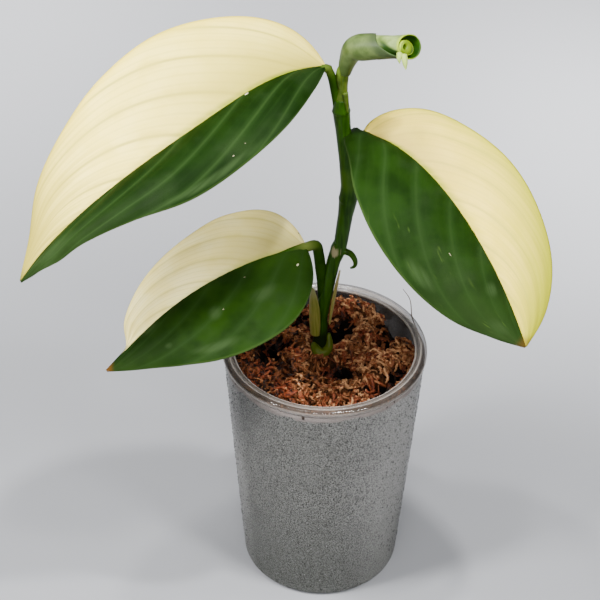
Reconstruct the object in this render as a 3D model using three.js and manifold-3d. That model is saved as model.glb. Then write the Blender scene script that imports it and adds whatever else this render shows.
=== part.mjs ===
// Potted scindapsus: one climbing stem with three half-moon leaves and a furled new leaf,
// growing in damp moss in a clear plastic tumbler. Millimetres, +Z up. The origin is the
// middle of the tumbler's underside.
import * as THREE from 'three';
import { mergeVertices } from 'three/addons/utils/BufferGeometryUtils.js';
import Module from 'manifold-3d';

const wasm = await Module();
wasm.setup();

// Tumbler
const CUP_HEIGHT = 94;
const LIP_DIAMETER = 70;
const BASE_DIAMETER = 55;
const WALL = 1.0;
const FLOOR = 2.0;
const LIP_RADIUS = 1.3; // the bead round the rim
const LIP_OVERHANG = 0.7; // how far the bead reaches out past the wall
const WALL_TOP = 91.2; // height at which the wall meets the bead
const BASE_CORNER = 2.2; // radius of the corner between underside and wall
const CUP_SIDES = 52;

// Moss plug
const MOSS_LEVEL = 86;
const MOSS_LUMPS = 1.3; // how far the lumps rise and fall
const HEAP = { x: 10, y: 27, height: 5, reach: 8 }; // moss piled against the back wall
const GAP = 0.3; // clearance between pieces that touch

// Plant
const BLADE_THICKNESS = 0.8;
const SCALE_THICKNESS = 0.7; // the two sheaths at the foot
const BLADE_STEPS = 22; // stations from the base of a blade to its tip
const HALF_STEPS = 4; // strips from the midrib to each margin

// Shorthands for angles and points
const rad = THREE.MathUtils.degToRad;
const point = (x, y, z) => new THREE.Vector3(x, y, z);

// A smooth value at s (0 to 1) along evenly spaced values
function along(values, s) {
  const last = values.length - 1;
  const t = THREE.MathUtils.clamp(s, 0, 1) * last;
  const i = Math.min(Math.floor(t), last - 1);
  const f = t - i;
  const b = values[i];
  const c = values[i + 1];
  const a = i > 0 ? values[i - 1] : 2 * b - c;
  const d = i + 2 <= last ? values[i + 2] : 2 * c - b;
  return b + 0.5 * f * (c - a + f * (2 * a - 5 * b + 4 * c - d + f * (3 * (b - c) + d - a)));
}

// A geometry from a list of points and a list of triangles
function meshOf(points, triangles) {
  const geometry = new THREE.BufferGeometry().setFromPoints(points);
  geometry.setIndex(triangles.flat());
  return geometry;
}

// A closed thin sheet from rows of points and, for each, the step to the opposite face.
// Both faces are split into triangles alike.
function sheet(rows, steps) {
  const count = rows.length;
  const width = rows[0].length;
  const points = [
    ...rows.flatMap((row, i) => row.map((p, j) => p.clone().add(steps[i][j]))),
    ...rows.flatMap((row, i) => row.map((p, j) => p.clone().sub(steps[i][j]))),
  ];
  const top = (i, j) => i * width + j;
  const under = (i, j) => count * width + i * width + j;
  const triangles = [];
  for (let i = 0; i < count - 1; i++) {
    for (let j = 0; j < width - 1; j++) {
      triangles.push([top(i, j), top(i, j + 1), top(i + 1, j + 1)]);
      triangles.push([top(i, j), top(i + 1, j + 1), top(i + 1, j)]);
      triangles.push([under(i, j), under(i + 1, j + 1), under(i, j + 1)]);
      triangles.push([under(i, j), under(i + 1, j), under(i + 1, j + 1)]);
    }
    for (const [j, a, b] of [[width - 1, i, i + 1], [0, i + 1, i]]) {
      triangles.push([top(a, j), under(a, j), under(b, j)], [top(a, j), under(b, j), top(b, j)]);
    }
  }
  for (let j = 0; j < width - 1; j++) {
    for (const [i, a, b] of [[count - 1, j, j + 1], [0, j + 1, j]]) {
      triangles.push([top(i, a), top(i, b), under(i, b)], [top(i, a), under(i, b), under(i, a)]);
    }
  }
  return meshOf(points, triangles);
}

// A closed round tube through points, its radius given at even steps along it
function tube(through, radii, sides, steps) {
  const curve = new THREE.CatmullRomCurve3(through, false, 'centripetal');
  const { normals, binormals } = curve.computeFrenetFrames(steps, false);
  const points = [];
  for (let i = 0; i <= steps; i++) {
    const centre = curve.getPointAt(i / steps);
    const radius = along(radii, i / steps);
    for (let k = 0; k < sides; k++) {
      const turn = (2 * Math.PI * k) / sides;
      points.push(centre.clone()
        .addScaledVector(normals[i], radius * Math.cos(turn))
        .addScaledVector(binormals[i], radius * Math.sin(turn)));
    }
  }
  const first = points.push(curve.getPointAt(0)) - 1;
  const end = points.push(curve.getPointAt(1)) - 1;
  const triangles = [];
  for (let k = 0; k < sides; k++) {
    const next = (k + 1) % sides;
    for (let i = 0; i < steps; i++) {
      const a = i * sides;
      const b = a + sides;
      triangles.push([a + k, a + next, b + next], [a + k, b + next, b + k]);
    }
    triangles.push([first, next, k], [end, steps * sides + k, steps * sides + next]);
  }
  return meshOf(points, triangles);
}

function solid(geometry) {
  const bare = geometry.clone();
  bare.deleteAttribute('normal');
  bare.deleteAttribute('uv');
  const merged = mergeVertices(bare, 1e-4);
  return new wasm.Manifold(new wasm.Mesh({
    numProp: 3,
    vertProperties: Float32Array.from(merged.attributes.position.array),
    triVerts: Uint32Array.from(merged.index.array),
  }));
}

function geometryOf(manifold) {
  const mesh = manifold.getMesh();
  const geometry = new THREE.BufferGeometry();
  geometry.setAttribute('position', new THREE.BufferAttribute(mesh.vertProperties, 3));
  geometry.setIndex(new THREE.BufferAttribute(mesh.triVerts, 1));
  return geometry;
}

// The main body of a cut piece, without the scraps that the cut leaves
function mainBody(manifold) {
  return manifold.decompose().reduce((a, b) => (a.volume() > b.volume() ? a : b));
}

const plant = new THREE.Group();

function add(name, geometry, color, roughness, extra = {}) {
  const material = new THREE.MeshStandardMaterial({ color, roughness, metalness: 0, ...extra });
  const mesh = new THREE.Mesh(geometry, material);
  mesh.name = name;
  plant.add(mesh);
}

// Tumbler: one thin moulded wall with a beaded lip, a round base corner and a flat underside
const baseRadius = BASE_DIAMETER / 2;
const lipCentre = new THREE.Vector2(LIP_DIAMETER / 2 - LIP_RADIUS, CUP_HEIGHT - LIP_RADIUS);
const wallTop = new THREE.Vector2(LIP_DIAMETER / 2 - LIP_OVERHANG, WALL_TOP);
const wallSlope = (wallTop.x - baseRadius) / (wallTop.y - BASE_CORNER);
const outerRadius = (z) => baseRadius + wallSlope * (z - BASE_CORNER);
const innerRadius = (z) => outerRadius(z) - WALL;

function arc(centre, radius, from, to, steps) {
  return Array.from({ length: steps + 1 }, (_, i) => {
    const turn = rad(from + ((to - from) * i) / steps);
    return new THREE.Vector2(centre.x + radius * Math.cos(turn), centre.y + radius * Math.sin(turn));
  });
}

const outerCorner = new THREE.Vector2(baseRadius - BASE_CORNER, BASE_CORNER);
const innerCornerRadius = BASE_CORNER - WALL;
const innerCorner = new THREE.Vector2(
  innerRadius(FLOOR + innerCornerRadius) - innerCornerRadius, FLOOR + innerCornerRadius);
const cupProfile = [
  new THREE.Vector2(0, 0),
  ...arc(outerCorner, BASE_CORNER, -90, 0, 4),
  wallTop,
  ...arc(lipCentre, LIP_RADIUS, -60, 180, 7),
  new THREE.Vector2(innerRadius(wallTop.y), wallTop.y),
  ...arc(innerCorner, innerCornerRadius, 0, -90, 3),
  new THREE.Vector2(0, FLOOR),
];
add('cup', new THREE.LatheGeometry(cupProfile, CUP_SIDES).rotateX(Math.PI / 2), 0xb9bcbc, 0.25,
  { transparent: true, opacity: 0.45 });

// Stem: points up its middle with the radius at each; nodes are the thicker places
const stemPath = [
  [-0.4, 5.2, 58, 1.6], [-0.8, 5.4, 72, 2.2], [-1.1, 5.6, 84, 2.9], [-1.1, 5.7, 89, 3.3],
  [-1.3, 5.7, 94, 2.4], [-1.3, 5.7, 101, 2.1], [-0.2, 5.8, 110, 2.2], [1.1, 5.9, 118, 2.2],
  [2.5, 6.0, 126, 2.3], [3.7, 5.9, 130, 2.6], [4.7, 5.8, 134, 2.3], [5.9, 5.7, 145, 2.5],
  [6.6, 5.7, 151, 3.0], [6.7, 5.8, 157, 2.6], [5.8, 5.9, 167, 2.5], [4.4, 5.8, 179, 2.5],
  [3.6, 5.7, 186, 2.8], [3.4, 5.7, 191, 2.3],
];
const stemStart = stemPath[0][2];
const stemEnd = stemPath.at(-1)[2];

// The stem as a tube, grown by the given clearance
function stemTube(clearance) {
  const rings = 36;
  const sides = 12;
  const axis = stemPath.map(([x, y, z]) => ({ x, y, z }));
  const points = [];
  for (let i = 0; i <= rings; i++) {
    const z = THREE.MathUtils.lerp(stemStart - clearance, stemEnd + clearance, i / rings);
    const above = axis.findIndex((p) => p.z >= z);
    const k = above < 0 ? axis.length - 1 : Math.max(above, 1);
    const f = THREE.MathUtils.smoothstep(z, axis[k - 1].z, axis[k].z);
    const x = THREE.MathUtils.lerp(axis[k - 1].x, axis[k].x, f);
    const y = THREE.MathUtils.lerp(axis[k - 1].y, axis[k].y, f);
    const radius = THREE.MathUtils.lerp(stemPath[k - 1][3], stemPath[k][3], f) + clearance;
    for (let j = 0; j < sides; j++) {
      const turn = (2 * Math.PI * j) / sides;
      points.push(point(x + radius * Math.cos(turn), y + radius * Math.sin(turn), z));
    }
  }
  const bottom = points.push(point(axis[0].x, axis[0].y, stemStart - clearance)) - 1;
  const top = points.push(point(axis.at(-1).x, axis.at(-1).y, stemEnd + clearance)) - 1;
  const triangles = [];
  for (let j = 0; j < sides; j++) {
    const next = (j + 1) % sides;
    for (let i = 0; i < rings; i++) {
      const a = i * sides;
      const b = a + sides;
      triangles.push([a + j, a + next, b + next], [a + j, b + next, b + j]);
    }
    triangles.push([bottom, next, j], [top, rings * sides + j, rings * sides + next]);
  }
  return meshOf(points, triangles);
}

// Roots: they leave the buried end evenly all round and run down through the moss
const ROOT_COUNT = 5;
const ROOT_RADIUS = 0.9;
const ROOT_REACH = 15; // how far out a root ends from the stem
const ROOT_DROP = 46; // how far down it runs
const ROOT_TOP = 70; // where the first root leaves the stem; each next one leaves 2 mm lower
const ROOT_CURL = 2; // degrees that a root turns round the stem for each millimetre outward
function rootTube(index, clearance) {
  const [stemX, stemY] = stemPath[1];
  const top = ROOT_TOP - 2 * index;
  const away = (part, fall) => {
    const reach = ROOT_REACH * part;
    const turn = (2 * Math.PI * index) / ROOT_COUNT + rad(22 + ROOT_CURL * reach);
    return point(stemX + reach * Math.cos(turn), stemY - 2 * part + reach * Math.sin(turn), top - fall);
  };
  const through = [
    point(stemX, stemY, top), away(0.4, ROOT_DROP * 0.13), away(0.75, ROOT_DROP * 0.52),
    away(1, ROOT_DROP + clearance),
  ];
  const radii = [ROOT_RADIUS, ROOT_RADIUS * 0.9, ROOT_RADIUS * 0.6].map((r) => r + clearance);
  return tube(through, radii, 6, 8);
}

// The small curled stub that hooks out of the middle node, right of the stem
const stubPath = [
  point(3.4, 5.4, 130), point(6.0, 4.8, 130.6), point(8.2, 4.6, 129.6), point(9.6, 4.6, 126.8),
  point(9.4, 4.6, 124.6), point(8.0, 4.6, 123.8),
];
const stub = solid(tube(stubPath, [1.2, 1.15, 1.0, 0.8, 0.35], 8, 12));

function withRoots(clearance) {
  let body = solid(stemTube(clearance));
  for (let i = 0; i < ROOT_COUNT; i++) body = body.add(solid(rootTube(i, clearance)));
  return body;
}
const stemClearance = withRoots(GAP);
add('stem', geometryOf(withRoots(0).add(stub)), 0x35601b, 0.42);

// Moss plug: fills the tumbler to below the lip, lumpy on top, with a plain hole for the stem
// and channels for its roots
function mossHeight(x, y) {
  const waves = Math.sin(0.33 * x + 1.1) * Math.cos(0.29 * y - 0.4) + 0.6 * Math.sin(0.55 * y - 0.41 * x)
    + 0.5 * Math.cos(0.71 * x + 0.52 * y + 2);
  const edge = Math.hypot(x, y) / innerRadius(MOSS_LEVEL);
  const heap = HEAP.height * Math.exp(-((Math.hypot(x - HEAP.x, y - HEAP.y) / HEAP.reach) ** 2));
  return MOSS_LEVEL + MOSS_LUMPS * waves + heap - 1.2 * edge ** 6;
}

function mossPlug() {
  const sectors = 40;
  const topRings = 7;
  const outer = (z) => innerRadius(z) - GAP;
  const rings = [];
  for (let i = 1; i <= topRings; i++) rings.push([(outer(MOSS_LEVEL - 3) * i) / topRings, null]);
  rings.push([outer(MOSS_LEVEL - 8), MOSS_LEVEL - 8]);
  rings.push([outer(FLOOR + BASE_CORNER), FLOOR + BASE_CORNER]);
  rings.push([outer(FLOOR + BASE_CORNER) - 1, FLOOR + GAP + 1]);
  rings.push([outer(FLOOR + BASE_CORNER) - BASE_CORNER, FLOOR + GAP]);
  const points = [point(0, 0, mossHeight(0, 0))];
  for (const [radius, level] of rings) {
    for (let k = 0; k < sectors; k++) {
      const x = radius * Math.cos((2 * Math.PI * k) / sectors);
      const y = radius * Math.sin((2 * Math.PI * k) / sectors);
      points.push(point(x, y, level ?? mossHeight(x, y)));
    }
  }
  const last = points.push(point(0, 0, FLOOR + GAP)) - 1;
  const triangles = [];
  for (let k = 0; k < sectors; k++) {
    const next = (k + 1) % sectors;
    triangles.push([0, 1 + k, 1 + next]);
    for (let i = 0; i < rings.length - 1; i++) {
      const a = 1 + i * sectors;
      const b = a + sectors;
      triangles.push([a + k, b + k, b + next], [a + k, b + next, a + next]);
    }
    const a = 1 + (rings.length - 1) * sectors;
    triangles.push([last, a + next, a + k]);
  }
  return meshOf(points, triangles);
}
add('substrate', geometryOf(solid(mossPlug()).subtract(stemClearance)), 0x7d4a2c, 0.95);

// Leaves. A blade follows its midrib from base to tip: heading is the compass way it runs
// (0 is +X, 90 is +Y), rise its climb over the level, both in degrees at even steps. Each half
// has its width at even steps. The halves lift from the midrib by fold and bend down by crown
// at the margin. Sweep turns the cross lines back at the base and forward at the tip.
const leaves = {
  leaf_large: {
    base: [-1.8, 4, 203.5],
    length: 122,
    heading: [217, 195],
    rise: [22, -17, -26, -38, -57],
    cream: [0.5, 16.9, 27, 33, 31.8, 26.6, 19.1, 8.4, 0.5],
    green: [0.5, 10.6, 18.5, 21.8, 21.8, 16.1, 11.1, 7.5, 0.5],
    creamSide: 1,
    fold: { cream: 34, green: 27 },
    crown: { cream: -8, green: -25 },
    roll: [20, 10],
    sweep: [-56, 35],
    petiole: [[2.9, 5.8, 184], [2.3, 5.8, 189], [1.3, 5.6, 194.5], [0.5, 5.3, 198.5], [-0.5, 4.8, 201.5]],
    petioleRadii: [1.6, 1.4, 1.2, 1.1, 1, 0.8, 0.5],
  },
  leaf_right: {
    base: [11.5, 4, 178.5],
    length: 91.5,
    heading: [-46, -50],
    rise: [19, -12, -33, -47, -60],
    cream: [0.5, 14.2, 22.1, 24.4, 25.8, 23.7, 19.6, 11.6, 0.5],
    green: [8.6, 16.5, 21.6, 27.4, 29.9, 27.8, 21.4, 11, 0.5],
    creamSide: -1,
    fold: { cream: 21, green: 17 },
    crown: { cream: -21, green: -23 },
    roll: [-11, -10],
    sweep: [-106, 32],
    petiole: [[6.6, 5.8, 148], [9, 7.2, 154], [11.8, 8.8, 163], [13, 8.8, 171], [12.6, 6.4, 176.4]],
    petioleRadii: [1.9, 1.7, 1.5, 1.4, 1.2, 0.8, 0.5],
  },
  leaf_low: {
    base: [-7.2, 2, 134.5],
    length: 79,
    heading: [205, 211],
    rise: [5, -7, -20, -34, -40],
    cream: [0.5, 19.2, 23.4, 22.2, 19.7, 16.3, 10.4, 1, 0.5],
    green: [0.5, 16.5, 27.1, 30.3, 28.1, 22, 14.8, 7.8, 0.5],
    creamSide: 1,
    fold: { cream: 21, green: 12 },
    crown: { cream: -20, green: -27 },
    roll: [9, 4],
    sweep: [-48, 46],
    petiole: [[-0.5, 6.2, 107], [-1.1, 6.1, 116], [-1.9, 5.8, 123], [-2.6, 5.2, 129], [-3.6, 4.2, 133.4]],
    petioleRadii: [1.9, 1.9, 1.8, 1.6, 1.2, 0.8, 0.5],
  },
};

// Places along a midrib, each with its forward, sideways and upward directions
function midrib(leaf, steps) {
  const places = [];
  const at = point(...leaf.base);
  for (let i = 0; i <= steps; i++) {
    const s = i / steps;
    const heading = rad(along(leaf.heading, s));
    const rise = rad(along(leaf.rise, s));
    const forward = point(
      Math.cos(rise) * Math.cos(heading), Math.cos(rise) * Math.sin(heading), Math.sin(rise));
    if (i > 0) at.addScaledVector(places[i - 1].forward.clone().add(forward), leaf.length / steps / 2);
    const level = point(Math.sin(heading), -Math.cos(heading), 0);
    const roll = rad(along(leaf.roll, s));
    const side = level.clone().applyAxisAngle(forward, -roll);
    places.push({ s, at: at.clone(), forward, side, up: side.clone().cross(forward) });
  }
  return places;
}

// The place on a blade at a lateral position from -1 to 1, 0 being the midrib
function onBlade(leaf, place, lateral) {
  const half = Math.sign(lateral) * leaf.creamSide >= 0 ? 'cream' : 'green';
  const width = Math.max(along(leaf[half], place.s), 0.5);
  const start = rad(leaf.fold[half]);
  const bend = rad(leaf.crown[half]) - start;
  const v = Math.abs(lateral);
  const out = (width / bend) * (Math.sin(start + bend * v) - Math.sin(start));
  const lift = (width / bend) * (Math.cos(start) - Math.cos(start + bend * v));
  const sweep = rad(leaf.sweep[0] + (leaf.sweep[1] - leaf.sweep[0]) * place.s ** 0.6);
  return place.at.clone()
    .addScaledVector(place.side, Math.sign(lateral) * out * Math.cos(sweep))
    .addScaledVector(place.forward, out * Math.sin(sweep))
    .addScaledVector(place.up, lift);
}

function blade(leaf) {
  const places = midrib(leaf, BLADE_STEPS);
  const laterals = Array.from({ length: 2 * HALF_STEPS + 1 }, (_, j) => j / HALF_STEPS - 1);
  const rows = places.map((place) => laterals.map((lateral) => onBlade(leaf, place, lateral)));
  const steps = places.map((place) => laterals.map(
    () => place.up.clone().multiplyScalar(BLADE_THICKNESS / 2)));
  return solid(sheet(rows, steps));
}

// The leaf stalk, which runs on under the blade as the raised midrib
function petiole(leaf) {
  const ribReach = 0.6;
  const rib = midrib(leaf, 10).filter(({ s }) => s <= ribReach)
    .map(({ at, up }) => at.clone().addScaledVector(up, -0.4));
  const through = [...leaf.petiole.map((p) => point(...p)), ...rib];
  return solid(tube(through, leaf.petioleRadii, 8, 20));
}

// New leaf: a short shoot and a blade still rolled up, its mouth open towards the front
const shootPath = [
  point(3.4, 5.7, stemEnd + GAP), point(4.0, 5.7, 196), point(4.4, 5.6, 201), point(5.6, 5.3, 206),
];
const shootRadii = [1.5, 1.5, 1.9, 1.5];
const scrollPath = new THREE.CatmullRomCurve3([
  point(4.3, 5.6, 200.5), point(5.2, 5.4, 205), point(7.2, 4.6, 209.8), point(11.4, 2.5, 212.3),
  point(16.5, -0.3, 214.4), point(23.6, -4.3, 217.4),
]);
const scrollRadii = [2.1, 3.1, 4.3, 4.2, 3.9, 4.1];
const SCROLL_TURNS = 1.35;
const MOUTH_SLANT = 1.9; // how far the mouth's rear lip runs on past its middle
const rearLip = point(0.6, 0.63, -0.5);

function scroll() {
  const steps = 14;
  const around = 20;
  const { normals, binormals } = scrollPath.computeFrenetFrames(steps, false);
  const rows = [];
  const offsets = [];
  for (let i = 0; i <= steps; i++) {
    const centre = scrollPath.getPointAt(i / steps);
    const radius = along(scrollRadii, i / steps) - SCALE_THICKNESS / 2;
    const slant = MOUTH_SLANT * (i / steps) ** 4;
    const tangent = scrollPath.getTangentAt(i / steps);
    const row = [];
    const offset = [];
    for (let j = 0; j <= around; j++) {
      const turn = (2 * Math.PI * SCROLL_TURNS * j) / around;
      const closeness = 1 - (0.42 * j) / around;
      const away = normals[i].clone().multiplyScalar(Math.cos(turn))
        .addScaledVector(binormals[i], Math.sin(turn));
      row.push(centre.clone().addScaledVector(away, radius * closeness)
        .addScaledVector(tangent, slant * away.dot(rearLip)));
      offset.push(away.multiplyScalar((SCALE_THICKNESS / 2) * Math.min(1, radius / 3.2)));
    }
    rows.push(row);
    offsets.push(offset);
  }
  return solid(sheet(rows, offsets));
}
const shoot = solid(tube(shootPath, shootRadii, 10, 10));
const newLeaf = shoot.add(scroll());

// Sheaths at the foot: curved scales that stand round the stem
function standingScale(foot, tip, widths, facing, arcAngle) {
  const steps = 8;
  const across = 6;
  const rows = [];
  const offsets = [];
  for (let i = 0; i <= steps; i++) {
    const s = i / steps;
    const centre = foot.clone().lerp(tip, s);
    const width = along(widths, s);
    const radius = width / rad(arcAngle);
    const row = [];
    const offset = [];
    for (let j = 0; j <= across; j++) {
      const turn = rad(facing + arcAngle * (j / across - 0.5));
      const away = point(Math.cos(turn), Math.sin(turn), 0);
      const middle = point(Math.cos(rad(facing)), Math.sin(rad(facing)), 0);
      row.push(centre.clone().addScaledVector(away, radius).addScaledVector(middle, -radius));
      offset.push(away.multiplyScalar(SCALE_THICKNESS / 2));
    }
    rows.push(row);
    offsets.push(offset);
  }
  return solid(sheet(rows, offsets));
}
const greenSheath = standingScale(
  point(-3.1, 2.7, 92.5), point(-4.2, 3.2, 115), [3.4, 4.8, 5.0, 4.6, 3.2, 0.9], 245, 130);
const drySheath = standingScale(
  point(1.6, 4.6, 99.5), point(5.2, 5.2, 124.5), [0.9, 2.2, 2.6, 2.2, 0.8], -20, 90);

// Each piece is cut clear of those it grows from
const shootSeat = [shootPath[0].clone().setZ(stemEnd), ...shootPath.slice(1)];
const newLeafClearance = solid(tube(shootSeat, shootRadii.map((r) => r + GAP), 10, 10));
for (const [name, leaf] of Object.entries(leaves)) {
  let body = blade(leaf).add(petiole(leaf)).subtract(stemClearance);
  if (name === 'leaf_large') body = body.subtract(newLeafClearance);
  add(name, geometryOf(mainBody(body)), leaf.creamSide > 0 ? 0xc9c493 : 0xbdbb85, 0.45);
}
add('new_leaf', geometryOf(mainBody(newLeaf.subtract(stemClearance))), 0x9fb573, 0.5);
add('base_sheath', geometryOf(mainBody(greenSheath.subtract(stemClearance))), 0x99903f, 0.6);
add('dry_sheath', geometryOf(mainBody(drySheath.subtract(stemClearance))), 0xa08d5c, 0.8);

export default plant;
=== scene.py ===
"""A young potted climber with half cream, half green leaves, in a clear tumbler of damp moss.

The solid model of the plant and its tumbler is loaded first. Each section then makes one piece,
or one group of like pieces, in the order in which the pot is planted and the plant grows.
"""
import math

import bmesh
import bpy
import numpy as np
from mathutils import Matrix, Vector


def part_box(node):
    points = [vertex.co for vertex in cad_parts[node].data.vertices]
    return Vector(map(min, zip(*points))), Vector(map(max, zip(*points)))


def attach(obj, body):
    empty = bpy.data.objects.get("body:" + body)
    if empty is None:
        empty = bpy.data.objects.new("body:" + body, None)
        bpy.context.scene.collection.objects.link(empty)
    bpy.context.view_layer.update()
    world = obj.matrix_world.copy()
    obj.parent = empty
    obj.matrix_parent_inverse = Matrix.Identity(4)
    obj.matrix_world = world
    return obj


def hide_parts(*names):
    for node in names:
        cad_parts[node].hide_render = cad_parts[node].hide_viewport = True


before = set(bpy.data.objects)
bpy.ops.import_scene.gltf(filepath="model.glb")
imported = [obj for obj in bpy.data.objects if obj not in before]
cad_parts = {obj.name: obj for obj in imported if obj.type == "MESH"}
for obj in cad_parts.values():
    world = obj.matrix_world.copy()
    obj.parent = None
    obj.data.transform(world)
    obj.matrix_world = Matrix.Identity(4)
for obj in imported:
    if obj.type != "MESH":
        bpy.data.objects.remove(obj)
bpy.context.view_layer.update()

# The camera stands in front of the plant and looks down on it at the photograph's angle. It is
# held almost level, and its long lens keeps the plant's proportions.
MM = 0.001
PHOTO_TILT = math.radians(39.0)
PHOTO_ROLL = math.radians(0.8)
PHOTO_DISTANCE = 745 * MM
PHOTO_AIM = Vector((-8.6, 0, 113.5)) * MM
PHOTO_LENS = 133.5
PHOTO_SENSOR = 36


def set_up(name, data):
    """A new object in the scene, made from its mesh, its lamp or its camera."""
    made = bpy.data.objects.new(name, data)
    bpy.context.scene.collection.objects.link(made)
    return made


look = Vector((0, math.cos(PHOTO_TILT), -math.sin(PHOTO_TILT)))
plumb = Vector((0, math.sin(PHOTO_TILT), math.cos(PHOTO_TILT)))
sideways = Vector((1, 0, 0))
camera_right = math.cos(PHOTO_ROLL) * sideways + math.sin(PHOTO_ROLL) * plumb
camera_up = math.cos(PHOTO_ROLL) * plumb - math.sin(PHOTO_ROLL) * sideways
camera_data = bpy.data.cameras.new("photo_camera")
camera_data.lens = PHOTO_LENS
camera_data.sensor_width = PHOTO_SENSOR
camera = set_up("photo_camera", camera_data)
camera.matrix_world = Matrix.Translation(PHOTO_AIM - look * PHOTO_DISTANCE) @ Matrix(
    (camera_right, camera_up, -look)).transposed().to_4x4()
bpy.context.scene.camera = camera

# Two columns of small soft boxes light the plant from the right and the left, and a weak wide
# one fills in from the front. Three spots stand behind the plant and light the far table.
LAMP_AIM = (0, 0, 0.08)
BOX_HEIGHTS = {"low": 0.45, "middle": 0.8, "high": 1.7}
BOX_COLUMNS = {"right": ((0.24, -0.27), (1.6, 3.3, 25)), "left": ((-0.31, -0.17), (3.5, 3.2, 12))}
BOX_WIDTH = 0.08
SPOTS = {"back_right": ((0.14, 0.60, 0.80), (0.16, 0.245, 0), 22, 127),
         "back_left": ((-0.16, 0.80, 0.80), (-0.22, 0.33, 0), 24, 91),
         "back_top": ((0, 0.90, 0.90), (0, 0.45, 0), 34, 110)}


def hang_lamp(name, kind, place, aim, power, **settings):
    """A lamp that shines from a place towards aim."""
    lamp = bpy.data.lights.new(name, kind)
    lamp.energy = power
    for key, value in settings.items():
        setattr(lamp, key, value)
    holder = set_up(name, lamp)
    holder.location = place
    holder.rotation_euler = (Vector(aim) - Vector(place)).to_track_quat("-Z", "Y").to_euler()


for column, (stand, powers) in BOX_COLUMNS.items():
    for (level, height), power in zip(BOX_HEIGHTS.items(), powers):
        hang_lamp(f"{column}_{level}", "AREA", (*stand, height), LAMP_AIM, power, size=BOX_WIDTH)
hang_lamp("front_fill", "AREA", (-0.01, -0.58, 0.58), LAMP_AIM, 3, size=0.25)
for name, (place, aim, angle, power) in SPOTS.items():
    hang_lamp(name, "SPOT", place, aim, power, spot_size=math.radians(angle), spot_blend=1.0,
              shadow_soft_size=0.08)
studio = bpy.data.worlds.new("studio")
studio.use_nodes = True
sky = studio.node_tree.nodes["Background"].inputs
sky["Color"].default_value = (0.93, 0.95, 1.0, 1)
sky["Strength"].default_value = 0.35
bpy.context.scene.world = studio

# The table is one pale grey sheet, far wider than the plant, with a dull paper finish. It lies
# just below the tumbler's underside and takes the soft shadows.
TABLE_HALF = 4.0
TABLE_DROP = 0.05 * MM


def linear(colour):
    """A colour in the usual 0 to 255 steps, as the linear values that a shader takes."""
    steps = [step / 255 for step in colour]
    return (*(v / 12.92 if v <= 0.04045 else ((v + 0.055) / 1.055) ** 2.4 for v in steps), 1)


class Finish:
    """A material built from short calls. Each call adds one node and returns its output socket.

    Colours are written in the usual 0 to 255 steps, and sizes in metres.
    """

    def __init__(self, name, roughness, specular):
        self.material = bpy.data.materials.new(name)
        self.material.use_nodes = True
        self.tree = self.material.node_tree
        self.shader = self.tree.nodes["Principled BSDF"]
        self.set("Roughness", roughness)
        self.set("Specular IOR Level", specular)

    def plug(self, socket, value):
        if isinstance(value, bpy.types.NodeSocket):
            self.tree.links.new(value, socket)
        elif value is not None:
            socket.default_value = linear(value) if socket.type == "RGBA" else value

    def set(self, name, value):
        self.plug(self.shader.inputs[name], value)

    def node(self, kind, *inputs, **settings):
        made = self.tree.nodes.new("ShaderNode" + kind)
        for key, value in settings.items():
            setattr(made, key, value)
        for socket, value in zip(made.inputs, inputs):
            self.plug(socket, value)
        return made

    def attribute(self, name):
        return self.node("Attribute", attribute_name=name).outputs["Fac"]

    def facing(self):
        return self.node("LayerWeight").outputs["Facing"]

    def places(self):
        return self.node("TexCoord").outputs["Object"]

    def math(self, operation, a, b=None, clamp=False):
        return self.node("Math", a, b, operation=operation, use_clamp=clamp).outputs[0]

    def times(self, a, b, clamp=False):
        return self.math("MULTIPLY", a, b, clamp)

    def plus(self, a, b, clamp=False):
        return self.math("ADD", a, b, clamp)

    def ease(self, value, low, high, start=0.0, end=1.0):
        """A soft step from start to end, while value goes from low to high."""
        made = self.node("MapRange", value, low, high, start, end, interpolation_type="SMOOTHSTEP")
        return made.outputs[0]

    def shaken(self, value, cloud, amount, clamp=False):
        """A value made uneven by a cloud of noise."""
        return self.plus(value, self.ease(cloud, 0.3, 0.7, -amount, amount), clamp)

    def mix(self, share, a, b):
        made = self.node("Mix", share, data_type="RGBA")
        self.plug(made.inputs[6], a)
        self.plug(made.inputs[7], b)
        return made.outputs[2]

    def cloudy(self, cloud, dark, light, low=0.3, high=0.7):
        return self.mix(self.ease(cloud, low, high), dark, light)

    def coats(self, colour, *coats):
        """A ground colour under thin coats, each with its share and its own colour."""
        for share, coat in coats:
            colour = self.mix(share, colour, coat)
        return colour

    def stretched(self, *axes):
        """A place whose axes are values, each times its own factor."""
        return self.node("CombineXYZ", *(self.times(value, factor) for value, factor in axes)).outputs[0]

    def gap(self, place, middle):
        return self.node("VectorMath", place, middle, operation="DISTANCE").outputs["Value"]

    def noise(self, size, detail=3.0, at=None, rough=0.5):
        """Cloudy noise from 0 to 1; size is that of one cloud."""
        made = self.node("TexNoise", at or self.places())
        made.inputs["Scale"].default_value = 1 / size
        made.inputs["Detail"].default_value = detail
        made.inputs["Roughness"].default_value = rough
        return made.outputs["Fac"]

    def cells(self, size):
        made = self.node("TexVoronoi", self.places())
        made.inputs["Scale"].default_value = 1 / size
        return made.outputs["Distance"]

    def bump(self, height, depth, strength=1.0):
        made = self.node("Bump")
        self.plug(made.inputs["Height"], height)
        made.inputs["Distance"].default_value = depth
        made.inputs["Strength"].default_value = strength
        self.set("Normal", made.outputs["Normal"])


def two_tone(name, size, dark, light, roughness, specular):
    """A finish of two colours, in clouds of one size."""
    made = Finish(name, roughness, specular)
    made.set("Base Color", made.mix(made.noise(size), dark, light))
    return made


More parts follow.
